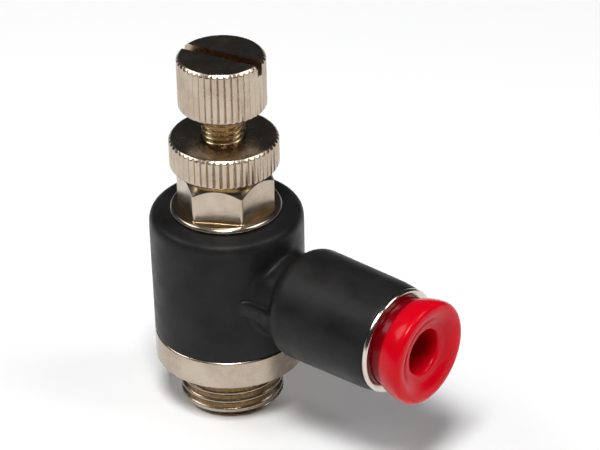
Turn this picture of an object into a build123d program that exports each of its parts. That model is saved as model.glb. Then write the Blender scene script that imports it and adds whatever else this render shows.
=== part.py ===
"""Push-in elbow flow control valve, G 1/8 male thread to 4 mm tube, built as an assembly.

A nickel-plated brass stud screws into a port. A moulded elbow swivels round its sleeve and carries
the push-in tube connector. A hex bonnet closes the stud and guides a needle spindle with a knurled
knob and lock nut. Air that leaves the port passes the needle. Air that enters it from the tube also
passes a lip seal, which acts as a check valve.

Frame: Z runs along the stud and up to the knob, with z = 0 on the collar's sealing face. X runs out
along the tube connector. Lengths are in millimetres.
"""

import os
from math import cos, pi, radians, sin

from build123d import *

os.makedirs("parts", exist_ok=True)

# Clearances
PRESS_GAP = 0.01  # radial, between pieces pressed or screwed together for good
RUN_GAP = 0.05  # radial, where a piece turns or slides
END_GAP = 0.05  # axial, at each end of a piece that turns
SEAL_GAP = 0.02  # radial, between a seated seal and the wall that it wipes

# Stud: port thread, collar and sleeve
THREAD_R = 9.728 / 2  # G 1/8 major radius
THREAD_LENGTH = 4.7
THREAD_CHAMFER = 0.5
UNDERCUT_R = 4.25
UNDERCUT_LENGTH = 0.8
THREAD_RUNOUT = 0.3
PORT_BORE_R = 2.6
COLLAR_R = 7.1
COLLAR_HEIGHT = 3.0
COLLAR_CHAMFER = 0.25
SLEEVE_R = 4.9
SEAT_R = 1.45
SEAT_LENGTH = 0.8
SEAT_CONE = 0.6  # length over which the bore narrows to the seat
SEAT_DROP = 0.1  # how far the seat lies below the connector's axis
CHAMBER_R = 3.0
UPPER_PORT_R = 0.9
LOWER_PORT_R = 0.6

# Elbow body
ELBOW_R = 7.2
ELBOW_FOOT_R = 7.08
ELBOW_CROWN_R = 7.12  # where the rounded top edge starts
ELBOW_TOP_R = 6.75
ELBOW_HEIGHT = 12.7
ELBOW_EDGE = 0.7  # height of the rounded top edge
ELBOW_SHOULDER = 2.2  # depth below the top where the side is widest
ANNULUS_DEPTH = 0.75  # how far the air annulus is cut into the elbow's bore

# Tube connector on the elbow
TUBE_R = 2.0  # 4 mm tube
TUBE_GAP = 0.1
AXIS_HEIGHT = 9.05  # of the connector's axis above the sealing face
NECK_R = 4.1
BARREL_R = 5.3  # at the back
BARREL_FRONT_R = 5.15  # where the mouth's rounding starts
MOUTH_R = 4.98
BARREL_START = 8.5  # from the stud's axis to the back of the barrel
BARREL_END = 19.85  # from the stud's axis to the mouth
BACK_RADIUS = 1.1
NECK_RADIUS = 0.5
MOUTH_ROUNDING = 1.8  # length over which the mouth rounds in
RIB_WIDTH = 9.5
RIB_THICKNESS = 1.3
PASSAGE_R = 1.4
TUBE_STOP = 9.1  # from the stud's axis to the end of the pushed-in tube
TUBE_SOCKET_LENGTH = 2.8
SEAL_SEAT_R = 3.6
SEAL_SEAT_LENGTH = 2.6
SPACER_LENGTH = 0.9
CLAW_LENGTH = 0.75
CLAW_SHEET = 0.25
CLAW_TEETH = 8
CLAW_SLOT_WIDTH = 0.4
CLAW_SLOT_REACH = 3.18  # radius at which the slots between the teeth end
CLAW_RIM_WIDTH = 1.0
CLAW_GRIP = 0.12  # radial, how far the teeth stand inside the tube's radius

# Outlet bush and release button
BUSH_WALL = 0.3
BUSH_RIM_R = 4.97
BUSH_RIM_LENGTH = 0.5
BUSH_CHAMFER = 0.12
BUTTON_BARREL_R = 4.2
BUTTON_CATCH = 0.17  # radial step that keeps the button behind the bush's rim
BUTTON_CATCH_LENGTH = 0.8
BUTTON_RIM_R = 4.92
BUTTON_RIM_BACK_R = 4.6
BUTTON_NOSE_WALL = 0.9
BUTTON_TIP_WALL = 0.5
BUTTON_REACH = 3.45  # from the bush's face to the button's front
BUTTON_RIM_LENGTH = 2.5
BUTTON_TRAVEL = 0.8
BUTTON_DISH_DEPTH = 1.0
BUTTON_LIP = 0.5
BUTTON_ROUNDING = 0.5
BUTTON_EDGE = 0.2
BUTTON_NOSE_TAPER = 0.9

# Bonnet
HEX_ACROSS_FLATS = 8.0
FLANGE_OVERLAP = 0.25  # how far the flange reaches over the elbow's bore
FLANGE_EDGE = 0.35  # radial width of the flange's sloping rim
FLANGE_HEIGHT = 0.5
HEX_HEIGHT = 3.95
HEX_TURN = 30  # degrees, which puts a flat towards the connector
HEX_CHAMFER_TOP_R = 3.5
HEX_CHAMFER_SLOPE = 1.2  # height over width
SKIRT_R = 3.5
SKIRT_LENGTH = 4.4

# Spindle, lock nut and knob
STEM_R = 2.0  # M4 x 0.5
SHOULDER_STEP = 0.45  # radial, from the stem to the guide shoulder
SHOULDER_HEIGHT = 1.6
NEEDLE_TIP_R = 0.5
NEEDLE_CONE = 3.6
NEEDLE_LAND = 2.1  # cylinder between the cone and the shoulder
OPEN_BY = 2.4  # how far the needle stands above its closed place
RISE_LEFT = 0.9  # how far the spindle can still rise
NUT_R = 5.08
NUT_HEIGHT = 3.1
NUT_FLUTES = 48
KNOB_R = 4.08
KNOB_HEIGHT = 5.25
KNOB_GAP = 3.05  # between the lock nut and the knob
KNOB_FLUTES = 40
KNURL_DEPTH = 0.16
KNURL_CHAMFER = 0.35
FLUTE_SHARE = 0.55  # of a flute's half spacing that its groove's radius takes up
SPIGOT_R = 1.6
SPIGOT_LENGTH = 3.2
SLOT_WIDTH = 1.0
SLOT_DEPTH = 1.15
SLOT_ANGLE = 11.4  # degrees from X

# Seals
CORD_R = 0.42  # section radius of the elbow and port O-rings as fitted
CORD_PLAY = 0.08  # axial, on each side of an elbow O-ring in its groove
SPINDLE_CORD_R = 0.35
SPINDLE_CORD_PLAY = 0.125
PORT_SEAL_STEP = 0.5  # radial, from the thread to the port O-ring
LOWER_GROOVE_IN = 1.0  # from the elbow's bottom to the groove's middle
UPPER_GROOVE_IN = 1.5  # from the elbow's top to the groove's middle
ANNULUS_LAND = 1.0  # wiped wall between the annulus and the upper groove
LIP_SEAL_HEIGHT = 1.4
LIP_SEAL_BASE = 0.5
LIP_SEAL_SHEET = 0.22
PORT_LAND = 0.2  # metal above and below a lower cross port
TUBE_SEAL_PLAY = 0.1  # axial, at each end of the tube seal
TUBE_SEAL_GRIP = 0.15  # radial, how far its lip stands inside the tube's radius
TUBE_SEAL_RELIEF = 0.35  # radial, from the tube to the seal beside its lip

# Radii that follow from the fits
shoulder_r = STEM_R + SHOULDER_STEP
guide_r = shoulder_r + RUN_GAP
needle_r = SEAT_R - RUN_GAP
elbow_bore_r = SLEEVE_R + RUN_GAP
annulus_r = elbow_bore_r + ANNULUS_DEPTH
flange_r = elbow_bore_r + FLANGE_OVERLAP
tube_bore_r = TUBE_R + TUBE_GAP
button_nose_r = tube_bore_r + BUTTON_NOSE_WALL
catch_r = BUTTON_BARREL_R + BUTTON_CATCH
bush_bore_r = catch_r + RUN_GAP
bush_skirt_r = bush_bore_r + BUSH_WALL

# Heights along the stud
elbow_bottom = COLLAR_HEIGHT + END_GAP
elbow_top = elbow_bottom + ELBOW_HEIGHT
stud_top = elbow_top + END_GAP
skirt_bottom = stud_top - SKIRT_LENGTH
seat_top = AXIS_HEIGHT - SEAT_DROP
seat_bottom = seat_top - SEAT_LENGTH
upper_port_z = (seat_top + skirt_bottom) / 2
hex_bottom = stud_top + FLANGE_HEIGHT
hex_top = hex_bottom + HEX_HEIGHT
nut_bottom = hex_top + END_GAP
nut_top = nut_bottom + NUT_HEIGHT
knob_bottom = nut_top + KNOB_GAP
knob_top = knob_bottom + KNOB_HEIGHT
needle_full_z = seat_top + OPEN_BY  # where the needle reaches its full radius
shoulder_bottom = needle_full_z + NEEDLE_LAND
shoulder_top = shoulder_bottom + SHOULDER_HEIGHT
guide_top = shoulder_top + RISE_LEFT

# Grooves on the sleeve
groove_floor_r = elbow_bore_r - 2 * CORD_R - SEAL_GAP - PRESS_GAP
groove_half = CORD_R + CORD_PLAY
lower_groove_z = elbow_bottom + LOWER_GROOVE_IN
upper_groove_z = elbow_top - UPPER_GROOVE_IN
lip_bottom = lower_groove_z + groove_half + 2 * LOWER_PORT_R + 2 * PORT_LAND
lip_top = lip_bottom + LIP_SEAL_HEIGHT
lower_port_z = (lower_groove_z + groove_half + lip_bottom) / 2
annulus_bottom = AXIS_HEIGHT - PASSAGE_R - RUN_GAP
annulus_top = upper_groove_z - groove_half - ANNULUS_LAND

# Places along the connector
rib_end = BARREL_START + BACK_RADIUS
seal_seat_start = TUBE_STOP + TUBE_SOCKET_LENGTH
mouth_bore_start = seal_seat_start + SEAL_SEAT_LENGTH
spacer_end = mouth_bore_start + SPACER_LENGTH
claw_end = spacer_end + CLAW_LENGTH
bush_face = BARREL_END + BUSH_RIM_LENGTH
button_front = bush_face + BUTTON_REACH
button_nose = claw_end + BUTTON_TRAVEL + END_GAP
catch_end = BARREL_END - END_GAP

# The connector's axis, and the section plane through it: (distance from the stud, radius)
TUBE_AXIS = Axis((0, 0, AXIS_HEIGHT), (1, 0, 0))
TUBE_SECTION = Plane((0, 0, AXIS_HEIGHT), x_dir=(1, 0, 0), z_dir=(0, -1, 0))


def along_stud(outline):
    """A turned piece on the stud's axis, from (radius, height) points."""
    with BuildPart() as piece:
        with BuildSketch(Plane.XZ):
            with BuildLine():
                Polyline(*outline, close=True)
            make_face()
        revolve(axis=Axis.Z)
    return piece


def along_tube(outline):
    """A turned piece on the connector's axis, from (distance, radius) points."""
    with BuildPart() as piece:
        with BuildSketch(TUBE_SECTION):
            with BuildLine():
                Polyline(*outline, close=True)
            make_face()
        revolve(axis=TUBE_AXIS)
    return piece


def o_ring(inner_r, cord_r, height):
    """A round-section ring on the stud's axis."""
    with BuildPart() as ring:
        with BuildSketch(Plane.XZ):
            with Locations((inner_r + cord_r, height)):
                Circle(cord_r)
        revolve(axis=Axis.Z)
    return ring


def knurled(radius, bottom, height, flutes, bore_r):
    """A straight-knurled cylinder with chamfered rims and a through bore."""
    flute_r = pi * radius / flutes * FLUTE_SHARE
    with BuildPart() as piece:
        with BuildSketch(Plane.XY.offset(bottom)):
            Circle(radius)
            with PolarLocations(radius + flute_r - KNURL_DEPTH, flutes):
                Circle(flute_r, mode=Mode.SUBTRACT)
            Circle(bore_r, mode=Mode.SUBTRACT)
        extrude(amount=height)
        with BuildSketch(Plane.XZ):
            with BuildLine():
                top = bottom + height
                inner = radius - KNURL_CHAMFER
                Polyline(
                    (0, bottom),
                    (inner, bottom),
                    (radius, bottom + KNURL_CHAMFER),
                    (radius, top - KNURL_CHAMFER),
                    (inner, top),
                    (0, top),
                    close=True,
                )
            make_face()
        revolve(axis=Axis.Z, mode=Mode.INTERSECT)
    return piece


def save(piece, name):
    """Labels a finished piece and writes its STEP file."""
    piece.part.label = name
    export_step(piece.part, f"parts/{name}.step")


# Threaded stud: thread, collar, sleeve with seal grooves, needle seat and cross ports
port_seal_inner_r = THREAD_R + PORT_SEAL_STEP
port_groove_outer_r = port_seal_inner_r + 2 * CORD_R + PRESS_GAP
port_groove_inner_r = port_seal_inner_r - PRESS_GAP
port_groove_depth = 2 * CORD_R + 2 * SEAL_GAP

with BuildPart() as threaded_stud:
    with BuildSketch(Plane.XZ):
        with BuildLine():
            Polyline(
                (PORT_BORE_R, -THREAD_LENGTH),
                (THREAD_R - THREAD_CHAMFER, -THREAD_LENGTH),
                (THREAD_R, -THREAD_LENGTH + THREAD_CHAMFER),
                (THREAD_R, -UNDERCUT_LENGTH - THREAD_RUNOUT),
                (UNDERCUT_R, -UNDERCUT_LENGTH),
                (UNDERCUT_R, 0),
                (port_groove_inner_r, 0),
                (port_groove_inner_r, port_groove_depth),
                (port_groove_outer_r, port_groove_depth),
                (port_groove_outer_r, 0),
                (COLLAR_R - COLLAR_CHAMFER, 0),
                (COLLAR_R, COLLAR_CHAMFER),
                (COLLAR_R, COLLAR_HEIGHT),
                (SLEEVE_R, COLLAR_HEIGHT),
                (SLEEVE_R, lower_groove_z - groove_half),
                (groove_floor_r, lower_groove_z - groove_half),
                (groove_floor_r, lower_groove_z + groove_half),
                (SLEEVE_R, lower_groove_z + groove_half),
                (SLEEVE_R, lip_bottom),
                (groove_floor_r, lip_bottom),
                (groove_floor_r, lip_top),
                (SLEEVE_R, lip_top),
                (SLEEVE_R, upper_groove_z - groove_half),
                (groove_floor_r, upper_groove_z - groove_half),
                (groove_floor_r, upper_groove_z + groove_half),
                (SLEEVE_R, upper_groove_z + groove_half),
                (SLEEVE_R, stud_top),
                (SKIRT_R + PRESS_GAP, stud_top),
                (SKIRT_R + PRESS_GAP, skirt_bottom),
                (CHAMBER_R, skirt_bottom),
                (CHAMBER_R, seat_top),
                (SEAT_R, seat_top),
                (SEAT_R, seat_bottom),
                (PORT_BORE_R, seat_bottom - SEAT_CONE),
                close=True,
            )
        make_face()
    revolve(axis=Axis.Z)
    for plane in (Plane.XZ, Plane.YZ):
        with BuildSketch(plane):
            with Locations((0, lower_port_z)):
                Circle(LOWER_PORT_R)
            with Locations((0, upper_port_z)):
                Circle(UPPER_PORT_R)
        extrude(amount=SLEEVE_R + 1, both=True, mode=Mode.SUBTRACT)
save(threaded_stud, "threaded_stud")

# Elbow: swivelling ring, neck, rib and connector barrel
with BuildPart() as elbow:
    with BuildSketch(Plane.XZ):
        with BuildLine():
            foot = Line((0, elbow_bottom), (ELBOW_FOOT_R, elbow_bottom))
            side = Line(foot @ 1, (ELBOW_R, elbow_top - ELBOW_SHOULDER))
            crown = Line(side @ 1, (ELBOW_CROWN_R, elbow_top - ELBOW_EDGE))
            edge = TangentArc(crown @ 1, (ELBOW_TOP_R, elbow_top), tangent=crown % 1)
            Polyline(edge @ 1, (0, elbow_top), foot @ 0)
        make_face()
    revolve(axis=Axis.Z)
    with BuildSketch(TUBE_SECTION):
        with BuildLine():
            root = Line((0, 0), (0, NECK_R))
            neck = Line(root @ 1, (BARREL_START - NECK_RADIUS, NECK_R))
            hollow = RadiusArc(neck @ 1, (BARREL_START, NECK_R + NECK_RADIUS), -NECK_RADIUS)
            shoulder = RadiusArc(hollow @ 1, (BARREL_START + BACK_RADIUS, BARREL_R), BACK_RADIUS)
            barrel = Line(shoulder @ 1, (BARREL_END - MOUTH_ROUNDING, BARREL_FRONT_R))
            mouth = TangentArc(barrel @ 1, (BARREL_END, MOUTH_R), tangent=barrel % 1)
            Polyline(mouth @ 1, (BARREL_END, 0), root @ 0)
        make_face()
    revolve(axis=TUBE_AXIS)
    with Locations((rib_end / 2, 0, AXIS_HEIGHT)):
        Box(rib_end, RIB_WIDTH, RIB_THICKNESS)
    with BuildSketch(Plane.XZ):
        with BuildLine():
            Polyline(
                (0, elbow_bottom),
                (elbow_bore_r, elbow_bottom),
                (elbow_bore_r, annulus_bottom),
                (annulus_r, annulus_bottom),
                (annulus_r, annulus_top),
                (elbow_bore_r, annulus_top),
                (elbow_bore_r, elbow_top),
                (0, elbow_top),
                close=True,
            )
        make_face()
    revolve(axis=Axis.Z, mode=Mode.SUBTRACT)
    with BuildSketch(TUBE_SECTION):
        with BuildLine():
            Polyline(
                (0, 0),
                (0, PASSAGE_R),
                (TUBE_STOP, PASSAGE_R),
                (TUBE_STOP, tube_bore_r),
                (seal_seat_start, tube_bore_r),
                (seal_seat_start, SEAL_SEAT_R),
                (mouth_bore_start, SEAL_SEAT_R),
                (mouth_bore_start, bush_skirt_r + PRESS_GAP),
                (BARREL_END, bush_skirt_r + PRESS_GAP),
                (BARREL_END, 0),
                close=True,
            )
        make_face()
    revolve(axis=TUBE_AXIS, mode=Mode.SUBTRACT)
save(elbow, "elbow_body")

# Hex bonnet: skirt in the stud, flange over the elbow, hexagon and screw guide
with BuildPart() as hex_bonnet:
    with BuildSketch(Plane.XZ):
        with BuildLine():
            Polyline(
                (0, skirt_bottom),
                (SKIRT_R, skirt_bottom),
                (SKIRT_R, stud_top),
                (flange_r, stud_top),
                (flange_r, hex_bottom - FLANGE_HEIGHT / 2),
                (flange_r - FLANGE_EDGE, hex_bottom),
                (0, hex_bottom),
                close=True,
            )
        make_face()
    revolve(axis=Axis.Z)
    with BuildSketch(Plane.XY.offset(hex_bottom)):
        RegularPolygon(HEX_ACROSS_FLATS / 2, 6, major_radius=False, rotation=HEX_TURN)
    extrude(amount=HEX_HEIGHT)
    chamfer_drop = (flange_r - HEX_CHAMFER_TOP_R) * HEX_CHAMFER_SLOPE
    with BuildSketch(Plane.XZ):
        with BuildLine():
            Polyline(
                (0, skirt_bottom),
                (flange_r, skirt_bottom),
                (flange_r, hex_top - chamfer_drop),
                (HEX_CHAMFER_TOP_R, hex_top),
                (0, hex_top),
                close=True,
            )
        make_face()
    revolve(axis=Axis.Z, mode=Mode.INTERSECT)
    with BuildSketch(Plane.XZ):
        with BuildLine():
            Polyline(
                (0, skirt_bottom),
                (guide_r, skirt_bottom),
                (guide_r, guide_top),
                (STEM_R + RUN_GAP, guide_top + guide_r - STEM_R - RUN_GAP),
                (STEM_R + RUN_GAP, hex_top),
                (0, hex_top),
                close=True,
            )
        make_face()
    revolve(axis=Axis.Z, mode=Mode.SUBTRACT)
save(hex_bonnet, "hex_bonnet")

# Needle spindle: cone, guide shoulder with O-ring groove, stem and spigot for the knob
spindle_groove_floor_r = guide_r - SEAL_GAP - 2 * SPINDLE_CORD_R - PRESS_GAP
spindle_groove_z = (shoulder_bottom + shoulder_top) / 2
spindle_groove_half = SPINDLE_CORD_R + SPINDLE_CORD_PLAY
spindle = along_stud(
    [
        (0, needle_full_z - NEEDLE_CONE),
        (NEEDLE_TIP_R, needle_full_z - NEEDLE_CONE),
        (needle_r, needle_full_z),
        (needle_r, shoulder_bottom),
        (shoulder_r, shoulder_bottom),
        (shoulder_r, spindle_groove_z - spindle_groove_half),
        (spindle_groove_floor_r, spindle_groove_z - spindle_groove_half),
        (spindle_groove_floor_r, spindle_groove_z + spindle_groove_half),
        (shoulder_r, spindle_groove_z + spindle_groove_half),
        (shoulder_r, shoulder_top),
        (STEM_R, shoulder_top + shoulder_r - STEM_R),
        (STEM_R, knob_bottom),
        (SPIGOT_R, knob_bottom),
        (SPIGOT_R, knob_bottom + SPIGOT_LENGTH),
        (0, knob_bottom + SPIGOT_LENGTH),
    ]
)
save(spindle, "needle_spindle")

# Knob, pressed on the spindle, with a screwdriver slot
knob_disc = knurled(KNOB_R, knob_bottom, KNOB_HEIGHT, KNOB_FLUTES, SPIGOT_R + PRESS_GAP)
slot_dir = (cos(radians(SLOT_ANGLE)), sin(radians(SLOT_ANGLE)), 0)
with BuildPart() as knob:
    add(knob_disc.part)
    with BuildSketch(Plane.XY.offset(knob_bottom + SPIGOT_LENGTH)):
        Circle(SPIGOT_R + PRESS_GAP)
    extrude(amount=KNOB_HEIGHT - SPIGOT_LENGTH)
    with BuildSketch(Plane((0, 0, knob_top - SLOT_DEPTH), x_dir=slot_dir, z_dir=(0, 0, 1))):
        Rectangle(2 * KNOB_R + 1, SLOT_WIDTH)
    extrude(amount=SLOT_DEPTH, mode=Mode.SUBTRACT)
save(knob, "knob")

save(knurled(NUT_R, nut_bottom, NUT_HEIGHT, NUT_FLUTES, STEM_R + RUN_GAP), "lock_nut")

# Rings that seal the port, the elbow's two ends and the spindle
save(o_ring(port_seal_inner_r, CORD_R, CORD_R + SEAL_GAP), "port_o_ring")
save(o_ring(groove_floor_r + PRESS_GAP, CORD_R, lower_groove_z), "lower_elbow_o_ring")
save(o_ring(groove_floor_r + PRESS_GAP, CORD_R, upper_groove_z), "upper_elbow_o_ring")
save(o_ring(spindle_groove_floor_r + PRESS_GAP, SPINDLE_CORD_R, spindle_groove_z), "spindle_o_ring")

# Lip seal: its lip opens downwards and wipes the elbow's bore
lip_inner_r = groove_floor_r + PRESS_GAP
lip_outer_r = elbow_bore_r - SEAL_GAP
lip_base = lip_top - LIP_SEAL_BASE
save(
    along_stud(
        [
            (lip_inner_r, lip_bottom + END_GAP),
            (lip_inner_r + LIP_SEAL_SHEET, lip_bottom + END_GAP),
            (lip_inner_r + LIP_SEAL_SHEET, lip_base),
            (lip_outer_r - 2 * LIP_SEAL_SHEET, lip_base),
            (lip_outer_r - LIP_SEAL_SHEET, lip_bottom + 2 * END_GAP),
            (lip_outer_r, lip_bottom + 2 * END_GAP),
            (lip_outer_r - LIP_SEAL_SHEET, lip_top - END_GAP),
            (lip_inner_r, lip_top - END_GAP),
        ]
    ),
    "check_lip_seal",
)

# Tube seal, spacer and claws inside the connector
seal_outer_r = SEAL_SEAT_R - PRESS_GAP
seal_back = seal_seat_start + TUBE_SEAL_PLAY
seal_front = mouth_bore_start - TUBE_SEAL_PLAY
seal_inner_r = TUBE_R + TUBE_SEAL_RELIEF
seal_lip_r = TUBE_R - TUBE_SEAL_GRIP
save(
    along_tube(
        [
            (seal_back, seal_inner_r),
            (seal_back, seal_outer_r),
            (seal_front, seal_outer_r),
            (seal_front, seal_inner_r),
            (seal_front - 0.7, seal_lip_r),
            (seal_front - 1.2, seal_lip_r),
            (seal_front - 1.5, seal_inner_r),
        ]
    ),
    "tube_seal",
)
spacer_bore_r = tube_bore_r + RUN_GAP
spacer_outer_r = bush_skirt_r - PRESS_GAP
save(
    along_tube(
        [
            (mouth_bore_start + SEAL_GAP, spacer_bore_r),
            (mouth_bore_start + SEAL_GAP, spacer_outer_r),
            (spacer_end - SEAL_GAP, spacer_outer_r),
            (spacer_end - SEAL_GAP, spacer_bore_r),
        ]
    ),
    "seal_spacer",
)

# Claw ring: a rim with sprung teeth that lean inwards
claw_rim_r = bush_skirt_r - PRESS_GAP
claw_root_r = claw_rim_r - CLAW_RIM_WIDTH
claw_tip_r = TUBE_R - CLAW_GRIP
claw_rim_end = spacer_end + CLAW_SHEET
slot_length = CLAW_SLOT_REACH - claw_tip_r
with BuildPart() as claw_ring:
    with BuildSketch(TUBE_SECTION):
        with BuildLine():
            Polyline(
                (spacer_end, claw_root_r),
                (spacer_end, claw_rim_r),
                (claw_rim_end, claw_rim_r),
                (claw_rim_end, claw_root_r + 0.1),
                (claw_end, claw_tip_r + 0.12),
                (claw_end - 0.2, claw_tip_r),
                close=True,
            )
        make_face()
    revolve(axis=TUBE_AXIS)
    slots = Plane((spacer_end, 0, AXIS_HEIGHT), x_dir=(0, 1, 0), z_dir=(1, 0, 0))
    with BuildSketch(slots):
        with PolarLocations(CLAW_SLOT_REACH - slot_length, CLAW_TEETH):
            Rectangle(2 * slot_length, CLAW_SLOT_WIDTH)
    extrude(amount=CLAW_LENGTH, mode=Mode.SUBTRACT)
save(claw_ring, "claw_ring")

# Outlet bush: a thin sleeve pressed into the mouth, with a rim that covers it
bush_start = claw_rim_end + PRESS_GAP
button_guide_r = BUTTON_BARREL_R + RUN_GAP
save(
    along_tube(
        [
            (bush_start, bush_bore_r),
            (bush_start, bush_skirt_r),
            (BARREL_END, bush_skirt_r),
            (BARREL_END, BUSH_RIM_R),
            (bush_face - BUSH_CHAMFER, BUSH_RIM_R),
            (bush_face, BUSH_RIM_R - BUSH_CHAMFER),
            (bush_face, button_guide_r),
            (BARREL_END, button_guide_r),
            (BARREL_END, bush_bore_r),
        ]
    ),
    "outlet_bush",
)

# Release button: nose that opens the claws, barrel in the bush and dished rim
rim_back = button_front - BUTTON_RIM_LENGTH
catch_start = catch_end - BUTTON_CATCH_LENGTH
dish_r = BUTTON_RIM_R - 0.8 * BUTTON_ROUNDING - BUTTON_LIP
dish_floor = button_front - BUTTON_DISH_DEPTH
save(
    along_tube(
        [
            (button_nose, tube_bore_r),
            (button_nose, tube_bore_r + BUTTON_TIP_WALL),
            (button_nose + BUTTON_NOSE_TAPER, button_nose_r),
            (catch_start, button_nose_r),
            (catch_start, catch_r),
            (catch_end, catch_r),
            (catch_end, BUTTON_BARREL_R),
            (rim_back, BUTTON_BARREL_R),
            (rim_back, BUTTON_RIM_BACK_R - BUTTON_EDGE),
            (rim_back + BUTTON_EDGE, BUTTON_RIM_BACK_R),
            (button_front - BUTTON_ROUNDING, BUTTON_RIM_R),
            (button_front - BUTTON_ROUNDING / 3, BUTTON_RIM_R - BUTTON_ROUNDING / 5),
            (button_front, dish_r + BUTTON_LIP),
            (button_front, dish_r),
            (dish_floor, tube_bore_r + BUTTON_EDGE),
            (dish_floor - BUTTON_EDGE, tube_bore_r),
        ]
    ),
    "release_button",
)
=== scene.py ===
"""Looks for the elbow flow control valve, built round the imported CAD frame.

Pieces are modelled in millimetres in the row frame and turned into metres as their mesh is made.
Z runs up the stud, and X runs out along the tube connector.
"""

from math import cos, pi, radians, sin

import bmesh
import bpy
import numpy as np
from mathutils import Matrix, Vector


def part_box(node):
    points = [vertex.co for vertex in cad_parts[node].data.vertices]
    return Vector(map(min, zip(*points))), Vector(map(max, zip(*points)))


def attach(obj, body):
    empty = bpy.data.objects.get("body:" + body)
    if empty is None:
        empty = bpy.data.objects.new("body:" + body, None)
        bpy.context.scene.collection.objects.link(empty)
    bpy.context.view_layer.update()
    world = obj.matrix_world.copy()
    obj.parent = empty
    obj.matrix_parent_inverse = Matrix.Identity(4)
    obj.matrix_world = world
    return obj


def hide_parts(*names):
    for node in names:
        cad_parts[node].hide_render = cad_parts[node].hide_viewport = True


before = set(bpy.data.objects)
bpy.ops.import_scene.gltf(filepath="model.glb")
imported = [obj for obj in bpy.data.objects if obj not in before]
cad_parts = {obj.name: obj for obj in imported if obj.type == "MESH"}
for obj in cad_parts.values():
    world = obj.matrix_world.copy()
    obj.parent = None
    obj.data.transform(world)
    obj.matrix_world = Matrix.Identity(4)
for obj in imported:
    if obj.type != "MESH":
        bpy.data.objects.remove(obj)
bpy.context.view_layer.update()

MM = 0.001


def extent(node):
    """A CAD node's lowest and highest corners, in millimetres."""
    low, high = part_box(node)
    return low / MM, high / MM


# Places and sizes read from the frame, in millimetres
STUD_LOW, STUD_HIGH = extent("threaded_stud")
ELBOW_LOW, ELBOW_HIGH = extent("elbow_body")
BONNET_LOW, BONNET_HIGH = extent("hex_bonnet")
SPINDLE_LOW, SPINDLE_HIGH = extent("needle_spindle")
KNOB_LOW, KNOB_HIGH = extent("knob")
NUT_LOW, NUT_HIGH = extent("lock_nut")
BUSH_LOW, BUSH_HIGH = extent("outlet_bush")
BUTTON_LOW, BUTTON_HIGH = extent("release_button")
TUBE_Z = (BUSH_LOW.z + BUSH_HIGH.z) / 2

END_GAP = 0.05  # axial, at each end of the elbow and before the button's catch
COLLAR_R = STUD_HIGH.x
COLLAR_TOP = ELBOW_LOW.z - END_GAP
THREAD_R = 4.864
THREAD_PITCH = 0.907
PORT_BORE_R = 2.6
SLEEVE_R = 4.9
SEAL_WIDTH = 0.85  # radial, from a groove's floor to its seal's outside
ELBOW_R = -ELBOW_LOW.x
FLANGE_R = BONNET_HIGH.x
BONNET_SKIRT_R = 3.5
STEM_R = 2.0
STEM_PITCH = 0.5
RUN_GAP = 0.05  # radial, round the stem
BUSH_RIM_R = BUSH_HIGH.z - TUBE_Z
BUTTON_RIM_R = BUTTON_HIGH.z - TUBE_Z
BUTTON_RIM_LENGTH = 2.5
BUTTON_BARREL_R = 4.2
TUBE_BORE_R = 2.1
MOUTH_X = ELBOW_HIGH.x


# Mesh helpers


def circle_angles(count):
    return np.arange(count) * 2 * pi / count


def rings(outline, angles):
    """(rows, columns, 2) from (radius, place) pairs, each a number or one value per angle."""
    columns = len(angles)
    return np.array(
        [
            np.stack(
                [np.broadcast_to(r, columns), np.broadcast_to(p, columns)], axis=-1
            )
            for r, p in outline
        ],
        float,
    )


def soften(rows, radius, closed=True, steps=3):
    """Rounds each corner of a section, column by column."""
    out = []
    count = len(rows)
    for i, here in enumerate(rows):
        if not closed and i in (0, count - 1):
            out.append(here)
            continue
        to_last = rows[i - 1] - here
        to_next = rows[(i + 1) % count] - here
        last_length = np.linalg.norm(to_last, axis=-1, keepdims=True)
        next_length = np.linalg.norm(to_next, axis=-1, keepdims=True)
        reach = np.minimum(radius, 0.45 * np.minimum(last_length, next_length))
        start = here + to_last / last_length * reach
        end = here + to_next / next_length * reach
        for t in np.linspace(0, 1, steps + 1):
            out.append((1 - t) ** 2 * start + 2 * t * (1 - t) * here + t * t * end)
    return np.array(out)


def mesh_object(name, points, faces, smooth_angle=38):
    """A mesh in metres from points in millimetres, with hard edges kept hard."""
    mesh = bpy.data.meshes.new(name)
    mesh.from_pydata((np.asarray(points) * MM).tolist(), [], faces)
    work = bmesh.new()
    work.from_mesh(mesh)
    bmesh.ops.remove_doubles(work, verts=work.verts, dist=1e-8)
    bmesh.ops.recalc_face_normals(work, faces=work.faces)
    work.to_mesh(mesh)
    work.free()
    mesh.shade_smooth()
    mesh.set_sharp_from_angle(angle=radians(smooth_angle))
    obj = bpy.data.objects.new(name, mesh)
    bpy.context.scene.collection.objects.link(obj)
    return obj


def turned(name, rows, angles, along="stud", closed=True, smooth_angle=38):
    """A skin over rows of (radius, place), round the stud's or the tube's axis."""
    radius = rows[..., 0]
    place = rows[..., 1]
    c = np.cos(angles)
    s = np.sin(angles)
    if along == "stud":
        points = np.stack([radius * c, radius * s, place], axis=-1)
    else:
        points = np.stack([place, radius * c, TUBE_Z + radius * s], axis=-1)
    count, columns = radius.shape
    last = count if closed else count - 1
    faces = []
    for i in range(last):
        row = i * columns
        above = (i + 1) % count * columns
        for j in range(columns):
            k = (j + 1) % columns
            faces.append((row + j, row + k, above + k, above + j))
    return mesh_object(name, points.reshape(-1, 3), faces, smooth_angle)


def weigh_normals(obj):
    """Keeps flat faces flat beside their small rounded edges."""
    weigh = obj.modifiers.new("weigh", "WEIGHTED_NORMAL")
    weigh.keep_sharp = True
    weigh.weight = 60
    return obj


def stand_for(obj, body, node, material):
    """Puts a piece on its body in place of its CAD node."""
    obj.data.materials.clear()
    obj.data.materials.append(material)
    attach(obj, body)
    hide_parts(node)
    return obj


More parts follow.
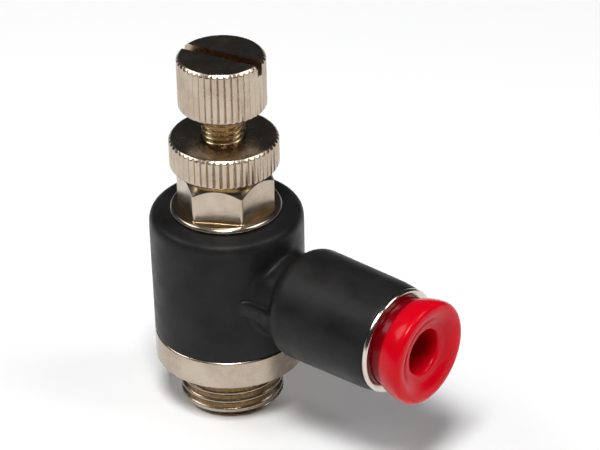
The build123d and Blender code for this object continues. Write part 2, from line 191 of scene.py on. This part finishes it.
def thread_rows(angles, bottom, top, radius, depth, pitch, per_pitch=12, sharpness=1.0):
    """Rows of a right-handed thread that runs out at both ends."""
    places = np.arange(bottom, top, pitch / per_pitch)
    out = []
    for place in np.append(places, top):
        phase = place / pitch - angles / (2 * pi)
        wave = 0.5 - 0.5 * np.cos(2 * pi * phase)
        wave = wave**sharpness
        ends = min(1.0, (place - bottom) / (0.5 * pitch), (top - place) / (0.5 * pitch))
        cut = depth * wave * max(0.0, ends)
        out.append(np.stack([radius - cut, np.full(len(angles), place)], axis=-1))
    return np.array(out)


# Materials


class Nodes:
    """Short names for the shader nodes of one material."""

    def __init__(self, name):
        self.material = bpy.data.materials.new(name)
        self.material.use_nodes = True
        self.tree = self.material.node_tree
        self.shader = self.tree.nodes["Principled BSDF"]
        self.where = self.add("ShaderNodeTexCoord").outputs["Object"]

    def add(self, kind, **settings):
        node = self.tree.nodes.new(kind)
        for key, value in settings.items():
            setattr(node, key, value)
        return node

    def link(self, source, target):
        self.tree.links.new(source, target)

    def noise(self, scale, detail=4.0, roughness=0.55, stretch=(1, 1, 1)):
        """Noise with scale in cycles per metre, stretched along the axes."""
        mapping = self.add("ShaderNodeMapping")
        mapping.inputs["Scale"].default_value = stretch
        self.link(self.where, mapping.inputs["Vector"])
        node = self.add("ShaderNodeTexNoise")
        node.inputs["Scale"].default_value = scale
        node.inputs["Detail"].default_value = detail
        node.inputs["Roughness"].default_value = roughness
        self.link(mapping.outputs["Vector"], node.inputs["Vector"])
        return node.outputs["Fac"]

    def ramp(self, source, stops):
        """A colour ramp from (position, colour) stops."""
        node = self.add("ShaderNodeValToRGB")
        ramp = node.color_ramp
        while len(ramp.elements) < len(stops):
            ramp.elements.new(0.5)
        for element, (position, color) in zip(ramp.elements, stops):
            element.position = position
            element.color = (*color, 1)
        self.link(source, node.inputs["Fac"])
        return node.outputs["Color"]

    def between(self, source, low, high):
        """Maps a 0.3 to 0.7 factor to a range of numbers."""
        node = self.add("ShaderNodeMapRange")
        node.inputs["From Min"].default_value = 0.3
        node.inputs["From Max"].default_value = 0.7
        node.inputs["To Min"].default_value = low
        node.inputs["To Max"].default_value = high
        self.link(source, node.inputs["Value"])
        return node.outputs["Result"]

    def openness(self, reach):
        """How open a point's surroundings are within a reach in metres, from 0 to 1."""
        node = self.add("ShaderNodeAmbientOcclusion", samples=8)
        node.inputs["Distance"].default_value = reach
        return node.outputs["AO"]

    def toward(self, color, other, factor, span):
        """Blends from another colour, at the low end of a factor's span, to a colour."""
        share = self.add("ShaderNodeMapRange")
        share.inputs["From Min"].default_value = span[0]
        share.inputs["From Max"].default_value = span[1]
        self.link(factor, share.inputs["Value"])
        mix = self.add("ShaderNodeMix", data_type="RGBA")
        self.link(share.outputs["Result"], mix.inputs["Factor"])
        # The colour sockets share their names with others, so they go by number
        mix.inputs[6].default_value = (*other, 1)
        self.link(color, mix.inputs[7])
        return mix.outputs[2]

    def bump(self, source, depth):
        """Bump of a real depth in metres."""
        node = self.add("ShaderNodeBump")
        node.inputs["Strength"].default_value = 1.0
        node.inputs["Distance"].default_value = depth
        self.link(source, node.inputs["Height"])
        self.link(node.outputs["Normal"], self.shader.inputs["Normal"])

    def put(self, **values):
        """Sets inputs of the shader to values or to outputs of other nodes."""
        for name, value in values.items():
            socket = self.shader.inputs[name.replace("_", " ")]
            if hasattr(value, "is_linked"):
                self.link(value, socket)
            else:
                socket.default_value = value


def plated_metal(name, light, dark, rough_low, rough_high, turning, corners=None):
    """Nickel or brass: satin, with tool marks along the turning direction and slight tarnish.

    corners is a painted colour for inner corners, standing in for the warm reflections and shade
    between the metal's surfaces.
    """
    n = Nodes(name)
    tarnish = n.noise(420, detail=5, roughness=0.6)
    color = n.ramp(tarnish, [(0.36, dark), (0.62, light)])
    if corners:
        # Painted reflection and shade: the corners colour is blended in where the ambient occlusion
        # finds inner corners
        color = n.toward(color, corners, n.openness(0.0022), (0.35, 0.8))
    n.put(Base_Color=color, Metallic=1.0)
    n.put(Roughness=n.between(n.noise(900, detail=3), rough_low, rough_high))
    n.bump(n.noise(2600, detail=3, roughness=0.6, stretch=turning), 0.000004)
    return n.material


def plastic(name, light, dark, rough, grain_scale, grain_depth, specular=0.5):
    """Plastic or rubber with a fine grain, whose depth is in metres."""
    n = Nodes(name)
    color = n.ramp(n.noise(260, detail=4), [(0.35, dark), (0.65, light)])
    n.put(Base_Color=color, Specular_IOR_Level=specular)
    n.put(Roughness=n.between(n.noise(500, detail=3), *rough))
    n.bump(n.noise(grain_scale, detail=3), grain_depth)
    return n.material


def red_acetal(name, light, dark, shaded, rim_back):
    """Slightly translucent red, with painted shade on the barrel, where the black connector stands
    behind it.

    rim_back is the distance along the tube, in metres, where the free rim starts.
    """
    n = Nodes(name)
    color = n.ramp(n.noise(260, detail=4), [(0.35, dark), (0.65, light)])
    along = n.add("ShaderNodeSeparateXYZ")
    n.link(n.where, along.inputs["Vector"])
    across = n.add("ShaderNodeVectorMath", operation="MULTIPLY_ADD")
    across.inputs[1].default_value = (0, 1, 1)
    across.inputs[2].default_value = (0, 0, -TUBE_Z * MM)
    n.link(n.where, across.inputs[0])
    radius = n.add("ShaderNodeVectorMath", operation="LENGTH")
    n.link(across.outputs[0], radius.inputs[0])
    # Nearer the axis than this, a place counts as a metre further out and isn't shaded
    hole_r = 3.5 * MM
    inward = n.add("ShaderNodeMath", operation="LESS_THAN")
    inward.inputs[1].default_value = hole_r
    n.link(radius.outputs["Value"], inward.inputs[0])
    place = n.add("ShaderNodeMath", operation="ADD")
    n.link(along.outputs["X"], place.inputs[0])
    n.link(inward.outputs[0], place.inputs[1])
    # Painted shade: behind the rim's back the colour turns to the shaded colour
    span = (rim_back - 0.0003, rim_back + 0.0005)
    n.put(Base_Color=n.toward(color, shaded, place.outputs[0], span))
    n.put(Roughness=n.between(n.noise(500, detail=3), 0.14, 0.22))
    n.put(Specular_IOR_Level=0.14, Subsurface_Weight=0.8, Subsurface_Scale=0.0024)
    n.put(Subsurface_Radius=(1.0, 0.25, 0.25))
    n.bump(n.noise(700, detail=3), 0.000003)
    return n.material


TOOL_MARKS = (0.25, 0.25, 2.5)  # stretch of the fine noise, for pieces turned about Z
# The nickel's corners colour is a painted warm reflection and shade in its inner corners
NICKEL = plated_metal(
    "satin_nickel", (0.50, 0.425, 0.345), (0.40, 0.325, 0.25), 0.20, 0.30, TOOL_MARKS,
    corners=(0.44, 0.33, 0.20),
)
# The bonnet's nickel: a stronger painted golden reflection and shade in its inner corners
NICKEL_GOLD_REFLECTION = plated_metal(
    "nickel_painted_gold_reflection", (0.50, 0.425, 0.345), (0.40, 0.325, 0.25), 0.18, 0.26, TOOL_MARKS,
    corners=(0.62, 0.42, 0.14),
)
NICKEL_BRIGHT = plated_metal(
    "bright_nickel", (0.66, 0.60, 0.54), (0.56, 0.49, 0.43), 0.12, 0.20, TOOL_MARKS
)
BRASS = plated_metal(
    "turned_brass", (0.62, 0.49, 0.32), (0.48, 0.35, 0.19), 0.20, 0.30, TOOL_MARKS
)
STEEL = plated_metal(
    "spring_steel", (0.66, 0.67, 0.69), (0.52, 0.53, 0.55), 0.22, 0.32, (1, 1, 1)
)
NYLON = plastic(
    "black_nylon",
    (0.016, 0.0155, 0.0155),
    (0.008, 0.008, 0.008),
    (0.34, 0.50),
    1500,
    0.000012,
    specular=0.14,
)
ACETAL_RED = red_acetal(
    "red_acetal",
    (0.57, 0.001, 0.010),
    (0.48, 0.001, 0.008),
    # painted shade colour for the barrel inside the bush
    (0.17, 0.0005, 0.003),
    (BUTTON_HIGH.x - BUTTON_RIM_LENGTH) * MM,
)
ACETAL_PALE = plastic(
    "pale_acetal", (0.74, 0.72, 0.66), (0.66, 0.64, 0.58), (0.35, 0.5), 1200, 0.000006
)
NITRILE = plastic(
    "black_nitrile", (0.020, 0.020, 0.020), (0.012, 0.012, 0.012), (0.45, 0.6), 2400, 0.000006
)

CARRIED_OVER = {
    "port_o_ring": NITRILE,
    "lower_elbow_o_ring": NITRILE,
    "upper_elbow_o_ring": NITRILE,
    "check_lip_seal": NITRILE,
    "tube_seal": NITRILE,
    "spindle_o_ring": NITRILE,
    "seal_spacer": ACETAL_PALE,
    "claw_ring": STEEL,
}
for node_name, material in CARRIED_OVER.items():
    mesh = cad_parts[node_name].data
    mesh.materials.clear()
    mesh.materials.append(material)


# Threaded stud


def seal_groove(node, play):
    """Corners of the sleeve's groove for a seal, with some axial play at each end."""
    low, high = extent(node)
    floor = high.x - SEAL_WIDTH
    bottom = low.z - play
    top = high.z + play
    return [(SLEEVE_R, bottom), (floor, bottom), (floor, top), (SLEEVE_R, top)]


def port_groove():
    """Corners of the groove in the collar's face for the port's O-ring."""
    inner_r = 5.35
    outer_r = 6.22
    depth = 0.88
    return [(inner_r, 0), (inner_r, depth), (outer_r, depth), (outer_r, 0)]


def build_stud():
    angles = circle_angles(192)
    bottom = STUD_LOW.z
    chamfer_top = bottom + 0.6
    undercut_r = 4.3
    undercut_bottom = -0.62
    chamber_r = 3.0
    seat_r = 1.45
    seat_top = TUBE_Z - 0.1
    below = [
        (PORT_BORE_R, bottom + 0.4),
        (PORT_BORE_R + 0.3, bottom),
        (THREAD_R - 0.72, bottom),
        (THREAD_R - 0.1, chamfer_top),
    ]
    lower = soften(rings(below, angles), 0.06, closed=False)
    thread = thread_rows(
        angles,
        chamfer_top + 0.02,
        undercut_bottom - 0.23,
        THREAD_R,
        depth=0.56,
        pitch=THREAD_PITCH,
        per_pitch=14,
        sharpness=1.25,
    )
    above = [
        (THREAD_R, undercut_bottom - 0.22),
        (undercut_r, undercut_bottom),
        (undercut_r, 0),
        *port_groove(),
        (COLLAR_R - 0.28, 0),
        (COLLAR_R, 0.28),
        (COLLAR_R, COLLAR_TOP - 0.12),
        (COLLAR_R - 0.12, COLLAR_TOP),
        (SLEEVE_R, COLLAR_TOP),
        *seal_groove("lower_elbow_o_ring", 0.08),
        *seal_groove("check_lip_seal", 0.05),
        *seal_groove("upper_elbow_o_ring", 0.08),
        (SLEEVE_R, STUD_HIGH.z),
        (BONNET_SKIRT_R + 0.02, STUD_HIGH.z),
        (BONNET_SKIRT_R + 0.02, BONNET_LOW.z),
        (chamber_r, BONNET_LOW.z),
        (chamber_r, seat_top),
        (seat_r, seat_top),
        (seat_r, seat_top - 0.8),
        (PORT_BORE_R, TUBE_Z - 1.5),
        (PORT_BORE_R, bottom + 0.4),
    ]
    upper = soften(rings(above, angles), 0.06, closed=False)
    rows = np.concatenate([lower, thread, upper])
    return weigh_normals(turned("threaded_stud_turned", rows, angles))


# Hex bonnet


def hexagon_radius(angles, across_flats, corner):
    """Radius of a hexagon with a flat towards +X and corners slightly rounded off."""
    turn = (angles + pi / 6) % (pi / 3) - pi / 6
    flat = across_flats / 2 / np.cos(turn)
    return np.minimum(flat, across_flats / 2 / cos(pi / 6) - corner)


def hexagon_angles():
    """Columns crowded round each corner."""
    crowd = 27.5  # degrees from the middle of a flat to where the columns crowd
    side = np.concatenate(
        [
            np.linspace(-30, -crowd, 6)[:-1],
            np.linspace(-crowd, crowd, 15),
            np.linspace(crowd, 30, 6)[1:],
        ]
    )
    turns = [side[:-1] + 60 * i for i in range(6)]
    return np.radians(np.concatenate(turns))


def build_bonnet():
    angles = hexagon_angles()
    flange_bottom = STUD_HIGH.z + 0.01
    hex_bottom = flange_bottom + 0.49
    hex_top = BONNET_HIGH.z
    face_r = 3.5
    slope = 1.2
    stem_bore_r = STEM_R + RUN_GAP
    guide_r = 2.5
    hexagon = hexagon_radius(angles, across_flats=8.0, corner=0.06)
    outline = [
        (BONNET_SKIRT_R, BONNET_LOW.z),
        (BONNET_SKIRT_R, flange_bottom),
        (FLANGE_R - 0.1, flange_bottom),
        (FLANGE_R, flange_bottom + 0.1),
        (FLANGE_R, flange_bottom + 0.22),
        (FLANGE_R - 0.16, flange_bottom + 0.42),
        (FLANGE_R - 0.36, hex_bottom),
        (hexagon + 0.05, hex_bottom),
        (hexagon, hex_bottom + 0.05),
        (hexagon, hex_top - (hexagon - face_r) * slope),
        (face_r, hex_top),
        (stem_bore_r + 0.2, hex_top),
        (stem_bore_r, hex_top - 0.2),
        (stem_bore_r, hex_top - 3.85),
        (guide_r, hex_top - 4.3),
        (guide_r, BONNET_LOW.z),
    ]
    rows = soften(rings(outline, angles), 0.07)
    return weigh_normals(turned("hex_bonnet_turned", rows, angles, smooth_angle=30))


# Spindle, knob and lock nut


def build_spindle():
    angles = circle_angles(128)
    shoulder_r = 2.45
    needle_r = 1.4
    groove_r = 1.76
    groove_in = 0.32
    spigot_r = 1.6
    tip = SPINDLE_LOW.z
    full = tip + 3.6
    shoulder_bottom = full + 2.1
    shoulder_top = shoulder_bottom + 1.6
    stem_start = shoulder_top + 0.45
    below = [
        (0.0, tip),
        (0.5, tip),
        (needle_r, full),
        (needle_r, shoulder_bottom),
        (shoulder_r, shoulder_bottom),
        (shoulder_r, shoulder_bottom + groove_in),
        (groove_r, shoulder_bottom + groove_in),
        (groove_r, shoulder_top - groove_in),
        (shoulder_r, shoulder_top - groove_in),
        (shoulder_r, shoulder_top),
        (STEM_R, stem_start),
    ]
    lower = soften(rings(below, angles), 0.05, closed=False)
    thread = thread_rows(
        angles,
        stem_start + 0.05,
        KNOB_LOW.z - 0.35,
        STEM_R,
        depth=0.29,
        pitch=STEM_PITCH,
    )
    above = [
        (STEM_R - 0.12, KNOB_LOW.z - 0.3),
        (STEM_R - 0.12, KNOB_LOW.z),
        (spigot_r, KNOB_LOW.z),
        (spigot_r, SPINDLE_HIGH.z),
        (0.0, SPINDLE_HIGH.z),
    ]
    upper = soften(rings(above, angles), 0.05, closed=False)
    rows = np.concatenate([lower, thread, upper])
    return turned("needle_spindle_turned", rows, angles, closed=False)


def flute_radius(angles, radius, count, depth, crest=0.5):
    """Straight knurling: flat crests with V grooves between them."""
    phase = np.abs((angles * count / (2 * pi)) % 1 - 0.5) * 2
    return radius - depth * np.clip((phase - crest) / (1 - crest), 0, 1)


def knurled(name, low, high, count, depth, chamfers, bore, columns=10):
    """A knurled disc whose chamfers cut across the flutes."""
    angles = circle_angles(count * columns)
    radius = high.x
    fluted = flute_radius(angles, radius, count, depth)
    under, over = chamfers
    outline = [
        (bore, low.z),
        (radius - under, low.z),
        (fluted, low.z + fluted - radius + under),
        (fluted, high.z - (fluted - radius + over)),
        (radius - over, high.z),
        (bore, high.z),
    ]
    rows = soften(rings(outline, angles), 0.05, steps=2)
    return turned(name, rows, angles, smooth_angle=30)


def cut_slot(obj, width, depth, angle, top, reach):
    """Cuts a straight slot across the top of a disc."""
    points = [
        (x, y, z)
        for x in (-reach, reach)
        for y in (-width / 2, width / 2)
        for z in (top - depth, top + depth)
    ]
    faces = [(0, 1, 3, 2), (4, 6, 7, 5), (0, 4, 5, 1), (2, 3, 7, 6), (0, 2, 6, 4), (1, 5, 7, 3)]
    cutter = mesh_object("slot_cutter", points, faces)
    cutter.rotation_euler.z = angle
    bpy.context.view_layer.update()
    cut = obj.modifiers.new("slot", "BOOLEAN")
    cut.operation = "DIFFERENCE"
    cut.solver = "EXACT"
    cut.object = cutter
    apply_modifiers(obj)
    bpy.data.objects.remove(cutter)
    obj.data.shade_smooth()
    obj.data.set_sharp_from_angle(angle=radians(30))


def apply_modifiers(obj):
    depsgraph = bpy.context.evaluated_depsgraph_get()
    mesh = bpy.data.meshes.new_from_object(obj.evaluated_get(depsgraph))
    obj.modifiers.clear()
    obj.data = mesh


def build_knob():
    knob = knurled(
        "knob_knurled", KNOB_LOW, KNOB_HIGH, count=40, depth=0.17, chamfers=(0.35, 0.3), bore=0.0
    )
    cut_slot(
        knob, width=1.0, depth=1.15, angle=radians(11.4), top=KNOB_HIGH.z, reach=KNOB_HIGH.x + 1
    )
    return knob


def build_lock_nut():
    bore = STEM_R + RUN_GAP
    return knurled(
        "lock_nut_knurled", NUT_LOW, NUT_HIGH, count=48, depth=0.2, chamfers=(0.38, 0.26), bore=bore
    )


# Elbow body: one moulded shell, from a distance field


def smooth_max(a, b, k):
    h = np.clip(0.5 + 0.5 * (a - b) / k, 0, 1)
    return b + (a - b) * h + k * h * (1 - h)


def smooth_min(a, b, k):
    return -smooth_max(-a, -b, k)


def drum_field(x, y, z):
    """The ring round the stud, with a slight draft, a crowned top and rounded edges."""
    top = ELBOW_HIGH.z
    foot = ELBOW_LOW.z
    foot_r = 7.08
    shoulder = 2.2
    r = np.hypot(x, y)
    widest = top - shoulder
    side_r = np.where(
        z < widest,
        foot_r + (ELBOW_R - foot_r) * (z - foot) / (widest - foot),
        ELBOW_R - 0.06 * ((z - widest) / shoulder) ** 2,
    )
    fall = 0.035 * np.maximum(r - FLANGE_R, 0) ** 2
    drum = smooth_max(r - side_r, z - top + fall, 0.95)
    return smooth_max(drum, foot - z, 0.16)


def connector_field(x, y, z):
    """The barrel, and apart from it the neck and the neck's rib."""
    neck_r = 4.1
    neck_end = 12
    rib_half_width = 4.75
    rib_half_height = 0.65
    rib_end = 10
    barrel_r = 5.3
    barrel_start = 8.5
    draft_start = 9
    rounding = 1.8
    t = np.hypot(y, z - TUBE_Z)
    neck = np.maximum(t - neck_r, np.maximum(-x, x - neck_end))
    rib = smooth_max(np.abs(z - TUBE_Z) - rib_half_height, np.abs(y) - rib_half_width, 0.2)
    rib = np.maximum(rib, np.maximum(-x, x - rib_end))
    draft = 0.15 * (x - draft_start) / (MOUTH_X - (rounding + draft_start))
    taper = draft + 0.17 * np.clip((x - (MOUTH_X - rounding)) / rounding, 0, 1) ** 2
    barrel = smooth_max(t - barrel_r + taper, barrel_start - x, 1.9)
    barrel = smooth_max(barrel, x - MOUTH_X, 0.04)
    return barrel, neck, rib


def stud_space_field(x, y, z):
    """The running bore round the stud's sleeve, with the air annulus."""
    bore_r = SLEEVE_R + RUN_GAP
    annulus_r = 5.7
    annulus_middle = 10.18
    annulus_half_height = 2.57
    r = np.hypot(x, y)
    annulus = smooth_max(r - annulus_r, np.abs(z - annulus_middle) - annulus_half_height, 0.1)
    return np.minimum(r - bore_r, annulus)


def tube_space_field(x, y, z):
    """The stepped bore of the connector, each step with its depth from the mouth."""
    passage_r = 1.4
    t = np.hypot(y, z - TUBE_Z)
    hollow = np.maximum(t - passage_r, np.maximum(-x, x - MOUTH_X - 1))
    for radius, depth in ((TUBE_BORE_R, 10.75), (3.6, 7.95), (4.73, 5.35)):
        hollow = np.minimum(hollow, np.maximum(t - radius, MOUTH_X - depth - x))
    return hollow


def elbow_field(x, y, z):
    """Signed distance to the moulded elbow, roughly, in millimetres."""
    barrel, neck, rib = connector_field(x, y, z)
    outside = smooth_min(drum_field(x, y, z), neck, 0.55)
    outside = smooth_min(outside, rib, 0.3)
    outside = smooth_min(outside, barrel, 0.5)
    shell = smooth_max(outside, -stud_space_field(x, y, z), 0.1)
    shell = smooth_max(shell, -tube_space_field(x, y, z), 0.04)
    gate_x, gate_y, gate_z = 5.22, -6.20, 8.85  # the shallow round mark beside the neck
    gate_r = 1.0
    gate = np.sqrt((x - gate_x) ** 2 + (y - gate_y) ** 2 + (z - gate_z) ** 2) - gate_r
    return smooth_max(shell, -gate, 0.05)


def surface_net(field, low, high, cell):
    """Naive surface nets over a box, then each vertex is slid onto the surface."""
    axes = [np.arange(a, b + cell, cell) for a, b in zip(low, high)]
    grid = np.meshgrid(*axes, indexing="ij")
    values = field(*grid)
    inside = values < 0
    shape = np.array(values.shape) - 1
    total = np.zeros((*shape, 3))
    hits = np.zeros(shape)
    corners = [(i, j, k) for i in (0, 1) for j in (0, 1) for k in (0, 1)]

    def view(array, corner):
        i, j, k = corner
        return array[i : i + shape[0], j : j + shape[1], k : k + shape[2]]

    for axis in range(3):
        for start in corners:
            if start[axis] == 1:
                continue
            end = list(start)
            end[axis] = 1
            a = view(values, start)
            b = view(values, end)
            cross = (a < 0) != (b < 0)
            share = np.where(cross, a / np.where(cross, a - b, 1), 0)
            for d in range(3):
                offset = start[d] + (share if d == axis else 0)
                total[..., d] += np.where(cross, offset, 0)
            hits += cross
    used = hits > 0
    index = np.full(shape, -1)
    index[used] = np.arange(used.sum())
    cells = np.argwhere(used)
    points = np.array(low) + (cells + total[used] / hits[used][:, None]) * cell
    faces = []
    for axis in range(3):
        other = [d for d in range(3) if d != axis]
        size = np.array(values.shape)
        size[axis] -= 1
        a = inside[tuple(slice(0, s) for s in size)]
        shifted = [slice(0, s) for s in size]
        shifted[axis] = slice(1, size[axis] + 1)
        b = inside[tuple(shifted)]
        for edge in np.argwhere(a != b):
            if edge[other[0]] == 0 or edge[other[1]] == 0:
                continue
            quad = []
            for du, dv in ((0, 0), (1, 0), (1, 1), (0, 1)):
                at = edge.copy()
                at[other[0]] -= du
                at[other[1]] -= dv
                quad.append(index[tuple(at)])
            faces.append(quad)
    step = cell * 0.02
    longest = 0.4 * cell
    for _ in range(4):
        here = field(*points.T)
        slope = np.stack(
            [
                field(*(points + shift).T) - field(*(points - shift).T)
                for shift in np.eye(3) * step
            ],
            axis=-1,
        ) / (2 * step)
        square = np.maximum((slope**2).sum(-1), 0.2)
        points = points - slope * np.clip(here / square, -longest, longest)[:, None]
    return points, faces


def build_elbow():
    margin = 0.4
    low = [ELBOW_LOW.x - margin, ELBOW_LOW.y - margin, ELBOW_LOW.z - margin]
    high = [ELBOW_HIGH.x + margin, ELBOW_HIGH.y + margin, ELBOW_HIGH.z + margin]
    cell = 0.13
    points, faces = surface_net(elbow_field, low, high, cell)
    return mesh_object("elbow_moulding", points, faces, smooth_angle=50)


# Outlet bush and release button


def build_bush():
    angles = circle_angles(160)
    back = BUSH_LOW.x
    face = BUSH_HIGH.x
    bore = 4.42
    skirt_r = 4.71
    guide_r = 4.25
    outline = [
        (bore, back),
        (skirt_r, back),
        (skirt_r, MOUTH_X + 0.01),
        (BUSH_RIM_R - 0.06, MOUTH_X + 0.01),
        (BUSH_RIM_R, MOUTH_X + 0.1),
        (BUSH_RIM_R, face - 0.18),
        (BUSH_RIM_R - 0.1, face - 0.04),
        (BUSH_RIM_R - 0.22, face),
        (guide_r, face),
        (guide_r, MOUTH_X),
        (bore, MOUTH_X),
    ]
    rows = soften(rings(outline, angles), 0.05)
    return weigh_normals(turned("outlet_bush_turned", rows, angles, along="tube"))


def button_inside():
    """From the hole's end near the front, round the nose, to the barrel in the bush."""
    nose = BUTTON_LOW.x
    front = BUTTON_HIGH.x
    nose_r = 3.0
    catch_r = 4.37
    catch = MOUTH_X - END_GAP
    catch_back = catch - 0.8
    return [
        (TUBE_BORE_R, front - 1.25),
        (TUBE_BORE_R, nose),
        (TUBE_BORE_R + 0.5, nose),
        (nose_r, nose + 0.9),
        (nose_r, catch_back),
        (catch_r, catch_back),
        (catch_r, catch),
        (BUTTON_BARREL_R, catch),
        (BUTTON_BARREL_R, catch + 0.3),
    ]


def button_rim():
    """The flaring rim, its rounded front edge, the shallow dish and the hole's edge."""
    front = BUTTON_HIGH.x
    back = front - BUTTON_RIM_LENGTH
    back_r = 4.64
    flare_start = back + 0.32
    flare_length = 1.53
    rounding = 0.55
    out = [
        (BUTTON_BARREL_R, back),
        (BUTTON_BARREL_R + 0.22, back + 0.03),
        (back_r - 0.08, back + 0.13),
        (back_r, flare_start),
    ]
    for t in np.linspace(0, 1, 8)[1:]:
        radius = back_r + (BUTTON_RIM_R - back_r) * sin(pi / 2 * t)
        out.append((radius, flare_start + flare_length * t))
    for a in np.radians(np.linspace(0, 90, 9))[1:]:
        radius = BUTTON_RIM_R - rounding * (1 - cos(a))
        out.append((radius, front - rounding + rounding * sin(a)))
    lip_r = BUTTON_RIM_R - rounding - 0.15
    hole_edge = 0.4
    dish_depth = 0.6
    dish_r = TUBE_BORE_R + hole_edge
    for t in np.linspace(0, 1, 13):
        drop = 0.5 - 0.5 * cos(pi * t)
        out.append((lip_r + (dish_r - lip_r) * t, front - dish_depth * drop))
    for a in np.radians(np.linspace(0, 90, 6))[1:]:
        edge_x = front - dish_depth - hole_edge * (1 - cos(a))
        out.append((TUBE_BORE_R + hole_edge * (1 - sin(a)), edge_x))
    return out


def build_button():
    angles = circle_angles(192)
    inner = soften(rings(button_inside(), angles), 0.06, closed=False)
    rows = np.concatenate([inner, rings(button_rim(), angles)])
    return turned("release_button_moulded", rows, angles, along="tube", smooth_angle=60)


stand_for(build_stud(), "stud", "threaded_stud", NICKEL)
stand_for(build_bonnet(), "stud", "hex_bonnet", NICKEL_GOLD_REFLECTION)
stand_for(build_elbow(), "elbow", "elbow_body", NYLON)
stand_for(build_bush(), "elbow", "outlet_bush", NICKEL_BRIGHT)
stand_for(build_button(), "button", "release_button", ACETAL_RED)
stand_for(build_spindle(), "spindle", "needle_spindle", BRASS)
stand_for(build_knob(), "spindle", "knob", NICKEL)
stand_for(build_lock_nut(), "lock_nut", "lock_nut", NICKEL)


# Floor, lights and camera


def build_floor():
    size = 2.0
    level = STUD_LOW.z * MM - 0.00002
    points = [(x * size, y * size, level) for x, y in ((-1, -1), (1, -1), (1, 1), (-1, 1))]
    mesh = bpy.data.meshes.new("floor")
    mesh.from_pydata(points, [], [(0, 1, 2, 3)])
    floor = bpy.data.objects.new("floor", mesh)
    bpy.context.scene.collection.objects.link(floor)
    n = Nodes("pale_floor")
    shades = [(0.3, (0.93, 0.93, 0.93)), (0.7, (0.95, 0.95, 0.95))]
    n.put(Base_Color=n.ramp(n.noise(3, detail=2), shades), Roughness=0.9)
    mesh.materials.append(n.material)


def view_axes(azimuth, elevation, roll=0):
    """Right, up and back unit vectors of a camera that looks at the object."""
    a = radians(azimuth)
    e = radians(elevation)
    back = Vector((sin(a) * cos(e), -cos(a) * cos(e), sin(e)))
    right = Vector((cos(a), sin(a), 0))
    up = back.cross(right)
    turn = Matrix.Rotation(radians(roll), 3, back)
    return turn @ right, turn @ up, back


def build_camera(azimuth, elevation, roll, distance, lens, offset):
    """offset is the view's centre, right and up of the tube axis on the stud, in metres."""
    right, up, back = view_axes(azimuth, elevation, roll)
    centre = Vector((0, 0, TUBE_Z * MM)) + right * offset[0] + up * offset[1]
    data = bpy.data.cameras.new("camera")
    data.lens = lens
    data.sensor_width = 36
    data.clip_start = 0.01
    camera = bpy.data.objects.new("camera", data)
    bpy.context.scene.collection.objects.link(camera)
    turn = Matrix((right, up, back)).transposed().to_4x4()
    camera.matrix_world = Matrix.Translation(centre + back * distance) @ turn
    bpy.context.scene.camera = camera


def softbox(name, azimuth, elevation, distance, width, height, watts):
    """A rectangular light that faces the object."""
    right, up, back = view_axes(azimuth, elevation)
    data = bpy.data.lights.new(name, "AREA")
    data.shape = "RECTANGLE"
    data.size = width
    data.size_y = height
    data.energy = watts
    light = bpy.data.objects.new(name, data)
    bpy.context.scene.collection.objects.link(light)
    turn = Matrix((right, up, back)).transposed().to_4x4()
    centre = Vector((0, 0, TUBE_Z * MM))
    light.matrix_world = Matrix.Translation(centre + back * distance) @ turn


CAMERA_AZIMUTH = 40.1
CAMERA_ELEVATION = 31.5
CAMERA_ROLL = -1.25
build_floor()
build_camera(
    CAMERA_AZIMUTH,
    CAMERA_ELEVATION,
    CAMERA_ROLL,
    distance=0.300,
    lens=192.4,
    offset=(0.0067, 0.0040),
)
softbox("key", CAMERA_AZIMUTH - 6, 64, distance=0.5, width=0.16, height=0.12, watts=2.2)
softbox("left_fill", CAMERA_AZIMUTH - 95, 45, distance=0.7, width=0.30, height=0.30, watts=1.5)
softbox("right_fill", CAMERA_AZIMUTH + 80, 50, distance=0.7, width=0.30, height=0.30, watts=1.5)
world = bpy.data.worlds.new("room")
world.use_nodes = True
background = world.node_tree.nodes["Background"]
background.inputs["Color"].default_value = (0.9, 0.92, 1.0, 1)
background.inputs["Strength"].default_value = 0.035
bpy.context.scene.world = world
bpy.context.scene.view_settings.view_transform = "Standard"
